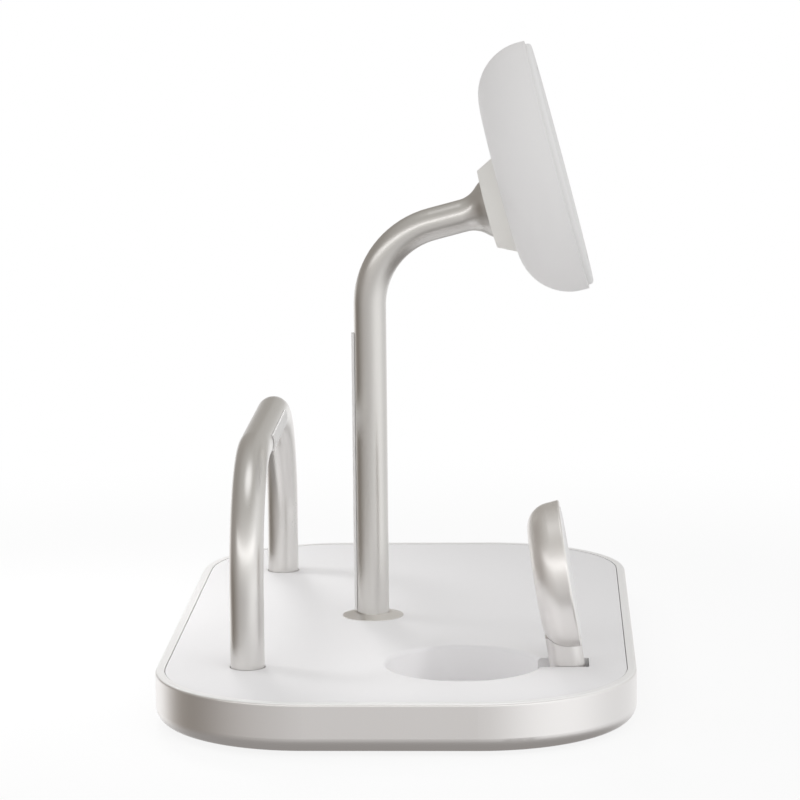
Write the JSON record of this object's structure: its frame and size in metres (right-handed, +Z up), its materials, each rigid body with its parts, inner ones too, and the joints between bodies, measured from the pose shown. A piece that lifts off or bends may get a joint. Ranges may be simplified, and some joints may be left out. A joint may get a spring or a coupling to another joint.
{
  "type": "wireless charging stand",
  "caption": "Flat charging base with a bent post that holds a round phone charger on a ball joint, a fold-down watch charger and an inverted-U tablet rest.",
  "frame": {"origin": "centre of the base's underside, on the desk", "axes": "+X the way the phone faces, +Y along the base away from the watch charger, +Z up"},
  "size_m": [0.106, 0.1772, 0.1459],
  "materials": {
    "tray_metal": "satin warm nickel, bead blasted",
    "tube_metal": "satin warm nickel",
    "plate_white": "fine matte white",
    "head_white": "soft-touch matte white",
    "pad_white": "matte white",
    "soft_white": "translucent white silicone",
    "mat_grey": "matte",
    "steel": "plain",
    "ballast": "plain",
    "copper": "enamelled copper wire",
    "ferrite": "matt sintered",
    "magnet": "nickel plated",
    "board": "green solder mask",
    "chip": "black epoxy",
    "nylon": "natural nylon"
  },
  "bodies": {
    "base": {"base_tray": "tray_metal", "top_plate": "plate_white", "foot_mat": "mat_grey", "plate_screws": "steel", "main_board": "board", "board_screws": "steel", "board_chips": "chip", "board_chokes": "ferrite", "usb_inlet": "steel", "earbud_coil": "copper", "earbud_ferrite": "ferrite", "ballast_plate": "ballast", "post_socket": "steel", "rail_sockets": "steel", "socket_screws": "steel", "post_arm": "tube_metal", "arm_ball": "tube_metal", "post_collar": "tube_metal", "post_strip": "soft_white", "tablet_rail": "tube_metal", "rail_pad": "soft_white", "hinge_bracket": "steel", "hinge_pin": "steel", "bracket_screws": "steel"},
    "socket_liner": {"ball_liner": "nylon"},
    "socket_ring": {"pressure_ring": "nylon"},
    "head": {"head_bowl": "head_white", "head_collar": "head_white", "collar_nut": "nylon", "spring_washer": "steel", "socket_cap": "nylon", "front_pad": "pad_white", "phone_coil": "copper", "phone_ferrite": "ferrite", "head_board": "board", "magnet_ring": "magnet"},
    "watch": {"watch_shell": "tube_metal", "watch_stem": "tube_metal", "watch_face": "pad_white", "watch_coil": "copper", "watch_ferrite": "ferrite", "watch_magnet": "magnet"}
  },
  "joints": [
    {"name": "head_pan", "type": "hinge", "parent": "base", "child": "socket_liner", "pos_m": [0.0237, 0, 0.10822], "axis": [-0.2538, 0, 0.9673], "range_deg": [-15, 15]},
    {"name": "head_tilt", "type": "hinge", "parent": "socket_liner", "child": "socket_ring", "pos_m": [0.0237, 0, 0.10822], "axis": [0, -1, 0], "range_deg": [-15, 15]},
    {"name": "head_turn", "type": "hinge", "parent": "socket_ring", "child": "head", "pos_m": [0.0237, 0, 0.10822], "axis": [0.9673, 0, 0.2538], "range_deg": [-45, 45]},
    {"name": "watch_fold", "type": "hinge", "parent": "base", "child": "watch", "pos_m": [0.0383, -0.0495, 0.00765], "axis": [0, -1, 0], "range_deg": [0, 81]}
  ]
}
